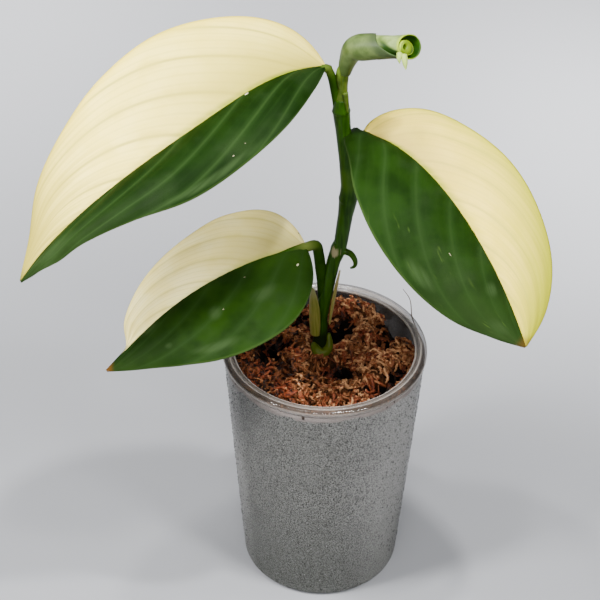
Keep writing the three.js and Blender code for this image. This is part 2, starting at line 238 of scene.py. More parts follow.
table_mesh = bpy.data.meshes.new("table")
table_mesh.from_pydata(
    [(x * TABLE_HALF, y * TABLE_HALF, -TABLE_DROP) for x, y in ((-1, -1), (1, -1), (1, 1), (-1, 1))],
    [], [(0, 1, 2, 3)])
table = set_up("table", table_mesh)
paper = two_tone("pale_table", 0.4, (135, 136, 139), (139, 140, 143), roughness=0.85, specular=0.1)
table_mesh.materials.append(paper.material)

# The tumbler is one clear plastic moulding, turned to shape, with a rolled lip of two beads. Its lip stays
# bright; fog and fine dew cover the wall below a fog-free band of plastic, which is painted paler as a
# highlight.
cup_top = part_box("cup")[1]
CUP_HEIGHT = cup_top.z / MM
LIP_REACH = cup_top.x / MM
BASE_REACH = 27.5
LIP_BEAD = 1.3
INNER_BEAD = 0.8
BEADS_APART = 2.2
BEAD_STEP = 0.1
LIP_OVERHANG = 0.7
WALL = 1.0
WALL_TOP = CUP_HEIGHT - 2.8
FLOOR = 2.0
CORNER = 2.2
DISC_REACH = BASE_REACH - CORNER - 6
BARE_LOW, BARE_HIGH = WALL_TOP - 2.2, WALL_TOP - 1.2
TURNS = 180
wall_slope = (LIP_REACH - LIP_OVERHANG - BASE_REACH) / (WALL_TOP - CORNER)


def outer_reach(z):
    return BASE_REACH + wall_slope * (z - CORNER)


def bend(x, z, radius, start, end, steps):
    """Points of an arc in the tumbler's section, from the start angle to the end angle."""
    turns = np.radians(np.linspace(start, end, steps))
    return [(x + radius * math.cos(t), z + radius * math.sin(t)) for t in turns]


def full_turn(count):
    """Even angles round a full turn."""
    return np.arange(count) * 2 * math.pi / count


def skin_faces(rings, sides, first=0, loop=False, ends=True):
    """Faces over rings of points, where the last ring meets the first in a loop."""
    faces = []
    for ring in range(rings if loop else rings - 1):
        low, high = first + ring * sides, first + (ring + 1) % rings * sides
        for k in range(sides):
            beside = (k + 1) % sides
            faces.append((low + k, low + beside, high + beside, high + k))
    if ends and not loop:
        faces.append(tuple(reversed(range(first, first + sides))))
        faces.append(tuple(range(first + (rings - 1) * sides, first + rings * sides)))
    return faces


def turned(section, loop):
    """Points and faces of a section spun round the tumbler's axis."""
    points = [(x * math.cos(t), x * math.sin(t), z) for x, z in section for t in full_turn(TURNS)]
    return points, skin_faces(len(section), TURNS, loop=loop)


def add_piece(name, points, faces, finish, slot, stands_for=(), values=None):
    """Makes a mesh piece from points in millimetres and puts it on the plant's only body."""
    mesh = bpy.data.meshes.new(name)
    mesh.from_pydata((np.asarray(points, float) * MM).tolist(), [], faces)
    for key, column in (values or {}).items():
        mesh.attributes.new(key, "FLOAT", "POINT").data.foreach_set(
            "value", np.asarray(column, np.float32))
    mesh.validate()
    shape = bmesh.new()
    shape.from_mesh(mesh)
    bmesh.ops.recalc_face_normals(shape, faces=shape.faces)
    shape.to_mesh(mesh)
    shape.free()
    mesh.shade_smooth()
    mesh.materials.append(finish.material)
    piece = set_up(name, mesh)
    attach(piece, "root")
    if stands_for:
        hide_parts(*stands_for)


def lip_finish():
    """Clear face on, hazy at the edges, brown inside, and painted whitish highlights on the crests of its
    beads.
    """
    made = Finish("clear_plastic_lip", roughness=0.12, specular=0.7)
    crest, inside = made.attribute("crest"), made.attribute("inside")
    haze = made.cloudy(made.noise(3 * MM, detail=4.0), (70, 61, 55), (98, 88, 81))
    made.set("Base Color", made.coats(haze, (inside, (50, 40, 33)), (crest, (176, 168, 160))))
    made.set("Alpha", made.plus(made.ease(made.facing(), 0.3, 0.95, 0.3, 0.85), made.plus(
        made.times(crest, 0.42), made.times(inside, 0.5)), clamp=True))
    return made


def fogged_finish():
    """Grey fog outside, painted paler where the lamps light its sides and greener at the foot, a fog-free
    band below the lip painted pale as a highlight, and dark brown inside, partly wet and partly painted
    shade.
    """
    made = Finish("fogged_plastic", roughness=0.45, specular=0.25)
    grain = made.noise(0.38 * MM, detail=2.0)
    cloud = made.noise(8 * MM, detail=4.0)
    speck = made.plus(made.ease(grain, 0.36, 0.64), made.ease(made.cells(0.42 * MM), 0.15, 0.6, 0.5, 0))
    inner, level = made.attribute("inner"), made.attribute("level")
    # Painted light: the fog is paler on the right side, where the lamps shine, and on the far left edge.
    painted_light = made.shaken(made.attribute("side"), grain, 0.2)
    # The fog-free band under the lip is painted pale as a highlight.
    bare_band_highlight = made.ease(made.shaken(level, cloud, 1.0), BARE_LOW, BARE_HIGH)
    # The inner face is dark brown, partly wet and partly painted shade.
    damp_and_shade = made.cloudy(grain, (26, 19, 14), (60, 48, 39), 0.35, 0.65)
    made.set("Base Color", made.coats(
        made.mix(speck, (38, 38, 36), (120, 120, 116)), (made.ease(painted_light, 0, 1, 0, 0.66), (168, 167, 164)),
        (made.ease(level, 60, 0, 0, 0.5), (52, 56, 49)), (bare_band_highlight, (122, 114, 110)), (inner, damp_and_shade)))
    veil = made.times(made.ease(speck, 0.1, 1.2, 0.7, 0.92),
                      made.ease(cloud, 0.25, 0.75, 0.95, 1.05), clamp=True)
    cover = made.plus(made.times(veil, made.math("SUBTRACT", 1.0, inner)),
                      made.times(made.ease(cloud, 0.3, 0.7, 0.86, 0.98), inner))
    made.set("Alpha", made.times(cover, made.ease(made.facing(), 0.7, 0.95, 1.0, 0.6)))
    made.bump(speck, 0.1 * MM, 0.5)
    return made


lip_x, lip_z = LIP_REACH - LIP_BEAD, CUP_HEIGHT - LIP_BEAD
lip_section = [(outer_reach(WALL_TOP), WALL_TOP), *bend(lip_x, lip_z, LIP_BEAD, -60, 150, 22),
               *bend(lip_x - BEADS_APART, lip_z + BEAD_STEP, INNER_BEAD, 60, 250, 16),
               (outer_reach(WALL_TOP) - WALL, WALL_TOP)]
lip_rings = range(len(lip_section))
# Painted highlights: how whitish each ring of the lip's section is, on the crests of both beads and at the
# outer edge.
lip_highlights = np.interp(lip_rings, [0, 4, 9, 11, 17, 19, 21, 24, 27, 29, 32, 38],
                       [0.35, 0.55, 0.5, 0, 0.05, 0.8, 0.8, 0.1, 0.8, 0.8, 0, 0])
add_piece("tumbler_lip", *turned(lip_section, loop=True), lip_finish(), "clear_plastic", ["cup"],
          {"crest": np.repeat(lip_highlights, TURNS),
           "inside": np.repeat(np.interp(lip_rings, [30, 33], [0, 1]), TURNS)})

wall_levels = np.linspace(CORNER, WALL_TOP, 44)
inner_corner = FLOOR + CORNER - WALL
corner_reach = outer_reach(inner_corner) - WALL
outer_section = [(DISC_REACH, 0), *bend(BASE_REACH - CORNER, CORNER, CORNER, -90, 0, 9),
                 *[(outer_reach(z), z) for z in wall_levels[1:]]]
inner_section = [*[(outer_reach(z) - WALL, z) for z in wall_levels[::-1] if z > inner_corner],
                 *bend(corner_reach - CORNER + WALL, inner_corner, CORNER - WALL, 0, -90, 7),
                 (DISC_REACH - 2, FLOOR)]
wall_section = outer_section + inner_section
wall_across = np.cos(full_turn(TURNS))
# Painted light: how much paler each turn of the wall is painted, most on the right and at the far left edge.
painted_light_side = np.maximum(wall_across, np.clip(-wall_across - 0.8, 0, 0.15) / 0.15)
add_piece("tumbler_wall", *turned(wall_section, loop=False), fogged_finish(), "clear_plastic", ["cup"],
          {"inner": np.repeat([0] * len(outer_section) + [1] * len(inner_section), TURNS),
           "level": np.repeat([z for _, z in wall_section], TURNS),
           "side": np.tile(painted_light_side, len(wall_section))})

# The dew is thousands of small water beads on the outside of the cold wall, thickest below the
# lip. Each is a low dome that sits on the plastic, a fraction of a millimetre high.
dew_draw = np.random.default_rng(11)
DEW_BEADS = 9500
DEW_LOW, DEW_HIGH = CORNER + 2, WALL_TOP - 2.5
DEW_LEAST, DEW_MOST = 0.15, 0.48


def blob(middle, out, across, up, radius, rise, sides):
    """A low dome of two rings and a top point, on a surface that faces out."""
    points = []
    for share, height in ((1.0, 0.0), (0.64, 0.72)):
        for k in range(sides):
            spin = 2 * math.pi * k / sides + share
            points.append(middle + radius * share * (math.cos(spin) * across + math.sin(spin) * up)
                          + out * height * rise)
    points.append(middle + out * rise)
    faces = []
    for quad in skin_faces(2, sides, ends=False):
        faces += [quad, (quad[3], quad[2], 2 * sides)]
    return points, faces


def on_wall(level, turn, sunk=0.03):
    """A place on the outside of the wall, with the directions out, across and up there."""
    out = np.array([math.cos(turn), math.sin(turn), 0.0])
    across = np.array([-math.sin(turn), math.cos(turn), 0.0])
    return out * (outer_reach(level) - sunk) + np.array([0, 0, level]), out, across, np.array([0, 0, 1.0])


def join(shapes):
    """Several (points, faces) as one."""
    points, faces = [], []
    for more_points, more_faces in shapes:
        first = len(points)
        points.extend(more_points)
        faces.extend(tuple(first + corner for corner in face) for face in more_faces)
    return points, faces


beads = []
for _ in range(DEW_BEADS):
    level = DEW_LOW + (DEW_HIGH - DEW_LOW) * dew_draw.random() ** 0.8
    turn = dew_draw.random() * 2 * math.pi
    size = DEW_LEAST + (DEW_MOST - DEW_LEAST) * dew_draw.random() ** 2.5
    beads.append(blob(*on_wall(level, turn), size, 0.6 * size, 6))
dew_finish = two_tone("dew", 0.9 * MM, (48, 48, 46), (116, 116, 113), roughness=0.1, specular=0.6)
dew_finish.set("Alpha", 0.6)
add_piece("tumbler_dew", *join(beads), dew_finish, "clear_plastic")

# A few dark crumbs of wet moss stick to the outside of the wall, just below the lip. Each is a
# low dome, held on by its own damp.
CRUMBS = ((90.6, -101.9, 0.75), (90.9, -47.2, 0.5), (90.2, -52.5, 0.45), (91.0, -10.9, 0.5),
          (90.4, -151, 0.45), (87.9, -96.5, 0.25), (86.5, -60, 0.25), (89.0, -75, 0.2))
crumbs = []
for level, turn, size in CRUMBS:
    middle, out, across, up = on_wall(level, math.radians(turn), 0.1)
    crumbs.append(blob(middle, out, across * 0.8, up * 1.3, size, 0.6 * size, 8))
add_piece("moss_crumbs", *join(crumbs), two_tone(
    "wet_crumbs", 0.4 * MM, (14, 9, 6), (52, 36, 24), roughness=0.6, specular=0.3), "moss")

# The moss is damp brown sphagnum, pressed in as a plug that ends about 8 mm below the lip. The
# plug is dark, and its top is a tangle of loose, ruffled strands, heaped against the back wall
# and in mounds round the stem, with deep hollows between.
MOSS_LEVEL = CUP_HEIGHT - 8
MOSS_GAP = 0.3
LUMP = 1.3
HEAP_X, HEAP_Y, HEAP_RISE, HEAP_REACH = 10, 27, 5, 8
MOUNDS = (
    (15, 18.5, 2.4, 6.0), (26, 10, 2.2, 4.8), (16.5, -5, 2.2, 5.5), (2, -15, 1.7, 7.0),
    (-12, 2, 2.0, 5.5), (-5, 0, 1.3, 4.0), (-22, -3, 1.2, 5.0), (9, 8.4, 1.6, 4.2),
    (-13.6, -15, 1.4, 5.0), (8, 25, 1.5, 4.0))
HOLLOWS = (
    (-16, 9.5, -6.5, 4.6), (-19.5, 2.5, -6.0, 3.6), (5.4, -4.5, -6.0, 3.6), (27, 19, -8.0, 6.0),
    (19, -13, -5.5, 4.2), (8.4, 20, -5.0, 3.0), (5, 14, -6.5, 3.6), (-6, 24, -4.0, 3.6),
    (20.7, 10.3, -5.5, 3.2), (24.6, -5, -5.5, 3.3), (-11, -8.5, -3.5, 2.4), (-2, -10.5, -3.0, 2.2))
PLUG_SINK = 1.5
PLUG_TURNS = 120
PLUG_GAP = 0.5
PLUG_LEVELS = (79, 75, 70, 60, 50, 40, 30, 20, 12, 7)
STRAND_MARGIN = 0.9
HEAP_TOP = MOSS_LEVEL + 6.2
# Patches of painted shade and painted light on the strands: x, y, change of tone, spread.
PAINTED_SHADE_AND_LIGHT_PATCHES = ((-18, -12, -0.16, 90), (4, -23, 0.16, 120))
moss_draw = np.random.default_rng(5)
moss_reach = outer_reach(MOSS_LEVEL) - WALL - MOSS_GAP
STEM_FOOT_X, STEM_FOOT_Y, STEM_FOOT_REACH = -1.1, 5.7, 2.9


def moss_height(x, y):
    """The solid plug's own top."""
    waves = (np.sin(0.33 * x + 1.1) * np.cos(0.29 * y - 0.4) + 0.6 * np.sin(0.55 * y - 0.41 * x)
             + 0.5 * np.cos(0.71 * x + 0.52 * y + 2))
    edge = np.hypot(x, y) / (outer_reach(MOSS_LEVEL) - WALL)
    heap = HEAP_RISE * np.exp(-(np.hypot(x - HEAP_X, y - HEAP_Y) / HEAP_REACH) ** 2)
    return MOSS_LEVEL + LUMP * waves + heap - 1.2 * edge ** 6


def moss_relief(x, y):
    """How far the loose moss stands above or below the plug's top."""
    relief = 0.7 * np.sin(0.9 * x + 2.2) * np.sin(0.8 * y + 0.5)
    for middle_x, middle_y, rise, reach in MOUNDS + HOLLOWS:
        relief = relief + rise * np.exp(-(np.hypot(x - middle_x, y - middle_y) / reach) ** 2)
    return relief


plug_turns = full_turn(PLUG_TURNS)
plug_rings, plug_hollow_shades = [], []
for share in np.linspace(0.02, 1, 34):
    x = (moss_reach - PLUG_GAP) * share * np.cos(plug_turns)
    y = (moss_reach - PLUG_GAP) * share * np.sin(plug_turns)
    crumb = 0.5 * np.sin(2.1 * x + 1.3 * y) * np.sin(1.7 * y - 0.6 * x)
    relief = moss_relief(x, y)
    plug_rings.append((x, y, moss_height(x, y) + relief - PLUG_SINK + crumb))
    # Painted shade: the plug is darker where the loose moss above it sinks into hollows.
    plug_hollow_shades.append(-relief)
plug_sides = [(level, outer_reach(level) - WALL - MOSS_GAP - PLUG_GAP
               + 0.3 * np.sin(9 * plug_turns + 0.3 * level) * np.sin(0.37 * level + 4 * plug_turns))
              for level in PLUG_LEVELS]
plug_foot = [(level, share * (outer_reach(level) - WALL - PLUG_GAP))
             for level, share in ((4.2, 0.95), (FLOOR + 0.4, 0.84))]
for level, reach in plug_sides + plug_foot:
    plug_rings.append((reach * np.cos(plug_turns), reach * np.sin(plug_turns), np.full(PLUG_TURNS, level)))
    plug_hollow_shades.append(np.zeros(PLUG_TURNS))
plug_finish = Finish("dark_damp_moss", roughness=0.9, specular=0.1)
crumble = plug_finish.noise(1.6 * MM, detail=5.0, rough=0.65)
plug_finish.set("Base Color", plug_finish.coats(
    plug_finish.cloudy(crumble, (24, 10, 4), (88, 52, 26), 0.35, 0.7),
    # Painted shade: nearly black in the hollows.
    (plug_finish.ease(plug_finish.attribute("hollow_shade"), 0.1, 1.4), (6, 3, 2))))
plug_finish.bump(crumble, 0.9 * MM)
add_piece("moss_plug", np.stack(plug_rings).transpose(0, 2, 1).reshape(-1, 3),
          skin_faces(len(plug_rings), PLUG_TURNS), plug_finish, "moss", ["substrate"],
          {"hollow_shade": np.concatenate(plug_hollow_shades)})


def between(ends, share):
    return ends[0] + (ends[1] - ends[0]) * share


def grow_strands(count, length, radius, lift, tones):
    """Loose ruffled ribbons of moss, each with its own length, curl, twist and tone."""
    points, faces, tone_values = [], [], []
    rings, sides = 10, 6
    grown = 0
    while grown < count:
        x, y = moss_draw.uniform(-1, 1, 2) * moss_reach
        relief = moss_relief(x, y)
        clear_of_stem = math.hypot(x - STEM_FOOT_X, y - STEM_FOOT_Y) > STEM_FOOT_REACH
        if math.hypot(x, y) > moss_reach or not clear_of_stem or moss_draw.random() < -0.5 * relief:
            continue
        grown += 1
        z = moss_height(x, y) + relief + between(lift, moss_draw.random())
        heading = moss_draw.uniform(0, 2 * math.pi)
        climb = moss_draw.normal(0, 0.4)
        curl = moss_draw.normal(0, 0.36)
        dip = moss_draw.normal(0, 0.15)
        step = between(length, moss_draw.random()) / (rings - 1)
        thick = between(radius, moss_draw.random() ** 1.5)
        flat = moss_draw.uniform(0.3, 0.7)
        twist = moss_draw.normal(0, 0.45)
        roll = moss_draw.uniform(0, math.pi)
        # Painted shade: the tone falls towards the left, where the low leaf shades the moss.
        tone = between(tones, moss_draw.random()) + 0.007 * x + 0.03
        at = np.array([x, y, z])
        first = len(points)
        for ring in range(rings):
            heading += curl + moss_draw.normal(0, 0.22)
            climb += dip
            roll += twist
            ahead = np.array([math.cos(climb) * math.cos(heading), math.cos(climb) * math.sin(heading),
                              math.sin(climb)])
            at = at + ahead * step
            limit = outer_reach(at[2]) - WALL - STRAND_MARGIN
            away = math.hypot(at[0], at[1])
            if away > limit:
                at[:2] *= limit / away
            here = moss_relief(at[0], at[1])
            ceiling = moss_height(at[0], at[1]) + here + lift[1] + STRAND_MARGIN
            at[2] = min(at[2], HEAP_TOP, ceiling)
            # Painted light and shade: strands are lighter on mounds, darker in hollows, darker in the left
            # patch and lighter in the front one.
            painted_light_and_shade = 0.05 * max(here, 0) + 0.13 * min(here, 0)
            for patch_x, patch_y, change, spread in PAINTED_SHADE_AND_LIGHT_PATCHES:
                painted_light_and_shade += change * math.exp(-((at[0] - patch_x) ** 2 + (at[1] - patch_y) ** 2) / spread)
            level = np.array([-math.sin(heading), math.cos(heading), 0.0])
            over = np.cross(ahead, level)
            taper = math.sin(math.pi * (ring + 0.7) / (rings + 0.4)) ** 0.5
            for k in range(sides):
                ruffle = thick * taper * moss_draw.uniform(0.45, 1.4)
                wide = ruffle * math.cos(2 * math.pi * k / sides)
                thin = ruffle * flat * math.sin(2 * math.pi * k / sides)
                points.append(at + level * (wide * math.cos(roll) - thin * math.sin(roll))
                              + over * (wide * math.sin(roll) + thin * math.cos(roll)))
                tone_values.append(tone + painted_light_and_shade + 0.16 * moss_draw.normal())
        faces += skin_faces(rings, sides, first)
    return points, faces, tone_values


strand_finish = Finish("brown_moss_strands", roughness=0.6, specular=0.25)
fleck = strand_finish.noise(0.6 * MM)
shade = strand_finish.shaken(strand_finish.attribute("tone"), fleck, 0.16)
rust = strand_finish.cloudy(strand_finish.noise(7 * MM, detail=2.0), (112, 62, 28), (118, 50, 21), 0.4, 0.62)
strand_finish.set("Base Color", strand_finish.coats(
    (16, 6, 2), (strand_finish.ease(shade, -0.05, 0.45), rust),
    (strand_finish.ease(shade, 0.45, 1.05), (190, 138, 94))))
strand_finish.bump(fleck, 0.25 * MM)
for name, count, length, radius, lift, tones in (
        ("moss_strands", 900, (4, 9), (0.65, 1.2), (-1.9, 0.3), (0.05, 0.62)),
        ("moss_curls", 700, (2.5, 7), (0.45, 0.9), (-0.4, 1.1), (0.25, 0.95))):
    points, faces, tone_values = grow_strands(count, length, radius, lift, tones)
    add_piece(name, points, faces, strand_finish, "moss", values={"tone": tone_values})

# The stem is one round green shoot, thickened where leaves leave it, with a pale scar at the
# middle node and a curled stub of an old shoot beside it. Its foot and roots are in the moss.
STEM_PATH = np.array([
    (-0.4, 5.2, 58, 1.6), (-0.8, 5.4, 72, 2.2), (-1.1, 5.6, 84, 2.9), (-1.1, 5.7, 89, 3.3),
    (-1.3, 5.7, 94, 2.4), (-1.3, 5.7, 101, 2.1), (-0.2, 5.8, 110, 2.2), (1.1, 5.9, 118, 2.2),
    (2.5, 6.0, 126, 2.3), (3.7, 5.9, 130, 2.6), (4.7, 5.8, 134, 2.3), (5.9, 5.7, 145, 2.5),
    (6.6, 5.7, 151, 3.0), (6.7, 5.8, 157, 2.6), (5.8, 5.9, 167, 2.5), (4.4, 5.8, 179, 2.5),
    (3.6, 5.7, 186, 2.8), (3.4, 5.7, 191, 2.3)])
STEM_RINGS = 150
NODE_LEVELS = (131.5, 152.5, 186.5)
NODE_RISE = 0.22
NODE_WIDTH = 0.7
STUB = [(3.4, 5.4, 130), (6.0, 4.8, 130.6), (8.2, 4.6, 129.6), (9.6, 4.6, 126.8), (9.4, 4.6, 124.6),
        (8.0, 4.6, 123.8)]
FOOT_KNOB = [(-3.4, 4.4, 90.6), (-3.0, 2.4, 90.2), (-1.6, 1.6, 89.2), (0.4, 2.0, 89.4), (1.6, 3.6, 91.0),
             (1.4, 5.2, 95)]
SCAR = (2.2 * MM, 3.3 * MM, 131 * MM)
ROOTS = 5
ROOT_TOP = 70
ROOT_STEP = 2
ROOT_SPREAD = 15
ROOT_FALL = 46


def along(values, s):
    """Smooth values at s (0 to 1) along evenly spaced ones."""
    values = np.asarray(values, float)
    last = len(values) - 1
    t = np.clip(np.asarray(s, float), 0, 1) * last
    i = np.minimum(t.astype(int), last - 1)
    f = t - i
    b, c = values[i], values[i + 1]
    a = np.where(i > 0, values[np.maximum(i - 1, 0)], 2 * values[0] - values[1])
    d = np.where(i + 2 <= last, values[np.minimum(i + 2, last)], 2 * values[last] - values[last - 1])
    return b + 0.5 * f * (c - a + f * (2 * a - 5 * b + 4 * c - d + f * (3 * (b - c) + d - a)))


def smooth_path(through, count):
    """Evenly spaced places on a smooth curve through points."""
    through = np.asarray(through, float)
    t = np.linspace(0, 1, 400)
    curve = np.stack([along(through[:, axis], t) for axis in range(3)], 1)
    run = np.concatenate([[0], np.cumsum(np.linalg.norm(np.diff(curve, axis=0), axis=1))])
    return np.stack([np.interp(np.linspace(0, run[-1], count), run, curve[:, axis]) for axis in range(3)], 1)


def unit(ways):
    """Directions brought to length one."""
    return ways / np.maximum(np.linalg.norm(ways, axis=-1, keepdims=True), 1e-9)


def carried_ways(path):
    """Directions beside and over at each place of a path, turned as little as can be."""
    ahead = unit(np.gradient(path, axis=0))
    start = np.cross(ahead[0], (0, 0, 1.0))
    if np.linalg.norm(start) < 0.2:
        start = np.cross(ahead[0], (0, 1.0, 0))
    beside = [unit(start)]
    for step in ahead[1:]:
        beside.append(unit(beside[-1] - step * np.dot(beside[-1], step)))
    beside = np.array(beside)
    return beside, np.cross(beside, ahead)


def tube(path, radii, sides):
    """Points and faces of a closed round tube, with a radius for each place of its path."""
    beside, over = carried_ways(path)
    turns = full_turn(sides)
    points = (path[:, None] + np.asarray(radii)[:, None, None] * (
        np.cos(turns)[None, :, None] * beside[:, None] + np.sin(turns)[None, :, None] * over[:, None]))
    return points.reshape(-1, 3).tolist(), skin_faces(len(path), sides)


def sprig(through, radii, rings, sides):
    """A tube on a smooth curve through points, with evenly spaced radii along it."""
    return tube(smooth_path(through, rings), along(radii, np.linspace(0, 1, rings)), sides)


def laid_out(counts, *parts):
    """One value for each point, from parts that each cover so many points."""
    return np.concatenate([np.broadcast_to(np.ravel(part), count) for part, count in zip(parts, counts)])


def stem_finish():
    """Streaky green, with a painted highlight band above the second node, yellower on the foot's knob, and
    painted shade low down at the moss.
    """
    made = Finish("green_stem", roughness=0.42, specular=0.1)
    x, y, z = made.node("SeparateXYZ", made.places()).outputs
    streak = made.noise(1.0, detail=4.0, at=made.stretched((x, 900), (y, 900), (z, 90)))
    scar = made.shaken(made.gap(made.places(), SCAR), streak, 0.8 * MM)
    made.set("Base Color", made.coats(
        made.cloudy(streak, (21, 49, 1), (41, 75, 4)),
        # Painted highlight: a pale band on the stem just above the second node.
        (made.times(made.ease(z, 0.154, 0.158), made.ease(z, 0.166, 0.162, 0, 0.5)), (66, 98, 20)),
        # Painted shade: the stem darkens where it goes down into the moss.
        (made.ease(z, 0.1, 0.094, 0, 0.9), (14, 18, 5)),
        (made.times(made.attribute("knob"), made.ease(streak, 0.2, 0.8, 0.7, 1)), (72, 84, 16)),
        (made.ease(scar, 1.4 * MM, 2.6 * MM, 1, 0), (140, 132, 96))))
    made.bump(streak, 0.15 * MM, 0.5)
    return made


stem_levels = np.linspace(STEM_PATH[0, 2], STEM_PATH[-1, 2], STEM_RINGS)
above = np.clip(np.searchsorted(STEM_PATH[:, 2], stem_levels), 1, len(STEM_PATH) - 1)
low, high = STEM_PATH[above - 1], STEM_PATH[above]
share = (stem_levels - low[:, 2]) / (high[:, 2] - low[:, 2])
stem_axis = low + (share * share * (3 - 2 * share))[:, None] * (high - low)
node_rings = sum(NODE_RISE * np.exp(-((stem_levels - node) / NODE_WIDTH) ** 2) for node in NODE_LEVELS)
stem_shapes = [tube(stem_axis[:, :3], stem_axis[:, 3] + node_rings, 36),
               sprig(STUB, [1.2, 1.15, 1.0, 0.8, 0.35], 40, 14),
               sprig(FOOT_KNOB, [1.3, 1.7, 1.7, 1.5, 1.1, 0.5], 40, 18)]
foot_x, foot_y = STEM_PATH[1, :2]
for root in range(ROOTS):
    top = ROOT_TOP - ROOT_STEP * root
    route = [(foot_x, foot_y, top)]
    for part, fall in ((0.4, 0.13), (0.75, 0.52), (1, 1)):
        turn = 2 * math.pi * root / ROOTS + math.radians(22 + 30 * part)
        route.append((foot_x + ROOT_SPREAD * part * math.cos(turn),
                      foot_y - 2 * part + ROOT_SPREAD * part * math.sin(turn), top - ROOT_FALL * fall))
    stem_shapes.append(sprig(route, [0.9, 0.81, 0.54], 24, 8))
knob_share = laid_out([len(shape[0]) for shape in stem_shapes], 0, 0.1, *[1] * (1 + ROOTS))
add_piece("climbing_stem", *join(stem_shapes), stem_finish(), "stem_green", ["stem"], {"knob": knob_share})

# Each leaf is one thin blade on a round stalk that runs on below it as the midrib. One half is
# cream and the other green; the veins leave the midrib at a slant and bend towards the tip.
# Widths and angles are listed from the base of the blade to its tip.
LEAVES = {
    "leaf_large": dict(
        base=(-1.8, 4, 203.5), length=122, heading=(217, 195), rise=(22, -17, -26, -38, -57),
        cream=(0.5, 16.9, 27, 33, 31.8, 26.6, 19.1, 8.4, 0.5),
        green=(0.5, 10.6, 18.5, 21.8, 21.8, 16.1, 11.1, 7.5, 0.5),
        cream_side=1, fold=(34, 27), crown=(-8, -25), roll=(20, 10), sweep=(-56, 35),
        stalk=((2.9, 5.8, 184), (2.3, 5.8, 189), (1.3, 5.6, 194.5), (0.5, 5.3, 198.5), (-0.5, 4.8, 201.5)),
        girth=(1.6, 1.4, 1.2, 1.1, 1, 0.8, 0.5), ruffle=1.2, veins=0.6,
        light=(255, 232, 122), shade=(240, 216, 90), margin=(240, 214, 72), base_shade=(168, 156, 60),
        far=(0.1, 0.46, 0.76, (168, 154, 60)), seam=1.0, seam_wide=0.08, flecks=0.0,
        tip_brown=0.0, green_tip=0.985, green_far=0.45, green_near=0.0, collar=0.3,
        sheen_patches=((0.44, -0.9, 0.14, 0.07), (0.86, -0.5, 0.09, 0.3), (0.93, -0.3, 0.05, 0.3)),
        deep=(9, 26, 3), pale=(15, 34, 5)),
    "leaf_right": dict(
        base=(11.5, 4, 178.5), length=91.5, heading=(-46, -50), rise=(19, -12, -33, -47, -60),
        cream=(0.5, 14.2, 22.1, 24.4, 25.8, 23.7, 19.6, 11.6, 0.5),
        green=(8.6, 16.5, 21.6, 27.4, 29.9, 27.8, 21.4, 11, 0.5),
        cream_side=-1, fold=(21, 17), crown=(-21, -23), roll=(-11, -10), sweep=(-106, 32),
        stalk=((6.6, 5.8, 148), (9, 7.2, 154), (11.8, 8.8, 163), (13, 8.8, 171), (12.6, 6.4, 176.4)),
        girth=(1.9, 1.7, 1.5, 1.4, 1.2, 0.8, 0.5), ruffle=0.3, veins=0.3,
        light=(242, 214, 92), shade=(224, 200, 60), margin=(216, 204, 44), base_shade=(166, 146, 72),
        far=(0.5, 0.44, 1.1, (158, 158, 24)), seam=1.0, seam_wide=0.13, flecks=0.8,
        tip_brown=0.6, green_tip=1.2, green_far=0.6, green_near=0.12, collar=0.5,
        sheen_patches=((0.76, -0.225, 0.03, 0.12), (0.87, -0.63, 0.05, 0.16), (0.62, -0.84, 0.06, 0.1)),
        deep=(11, 29, 3), pale=(20, 41, 6)),
    "leaf_low": dict(
        base=(-7.2, 2, 134.5), length=79, heading=(205, 211), rise=(5, -7, -20, -34, -40),
        cream=(0.5, 19.2, 23.4, 22.2, 19.7, 16.3, 10.4, 1, 0.5),
        green=(0.5, 16.5, 27.1, 30.3, 28.1, 22, 14.8, 7.8, 0.5),
        cream_side=1, fold=(21, 12), crown=(-20, -27), roll=(9, 4), sweep=(-48, 46),
        stalk=((-0.5, 6.2, 107), (-1.1, 6.1, 116), (-1.9, 5.8, 123), (-2.6, 5.2, 129), (-3.6, 4.2, 133.4)),
        girth=(1.9, 1.9, 1.8, 1.6, 1.2, 0.8, 0.5), ruffle=0.2, veins=0.25,
        light=(255, 240, 168), shade=(248, 228, 128), margin=(248, 228, 128), base_shade=(148, 138, 78),
        far=None, seam=0.5, seam_wide=0.1, flecks=0.0,
        tip_brown=1.0, green_tip=0.875, green_far=0.3, green_near=0.35, collar=0.6,
        sheen_patches=((0.465, -0.45, 0.03, 0.11), (0.29, -0.51, 0.06, 0.1), (0.5, -0.84, 0.1, 0.07),
               (0.745, -0.1, 0.06, 0.12), (0.665, -0.64, 0.02, 0.06)),
        deep=(13, 32, 3), pale=(24, 46, 6)),
}
BLADE = 0.6
VEINS = 5.5
VEIN_START = 0.4
VEIN_RISE = 0.09
VEIN_GROOVE = 0.05
MIDRIB_GROOVE = 0.12
BLADE_WAVE = 0.1
STALK_RINGS, STALK_SIDES = 90, 20


def midrib(leaf, steps):
    """Places along a leaf's midrib, with the directions ahead, beside and over at each."""
    s = np.linspace(0, 1, steps + 1)
    heading = np.radians(along(leaf["heading"], s))
    rise = np.radians(along(leaf["rise"], s))
    roll = np.radians(along(leaf["roll"], s))[:, None]
    ahead = np.stack([np.cos(rise) * np.cos(heading), np.cos(rise) * np.sin(heading), np.sin(rise)], 1)
    at = np.array(leaf["base"]) + np.concatenate(
        [np.zeros((1, 3)), np.cumsum((ahead[1:] + ahead[:-1]) / 2 * leaf["length"] / steps, 0)])
    level = np.stack([np.sin(heading), -np.cos(heading), 0 * heading], 1)
    upright = np.cross(level, ahead)
    return (s, at, ahead, np.cos(roll) * level + np.sin(roll) * upright,
            np.cos(roll) * upright - np.sin(roll) * level)


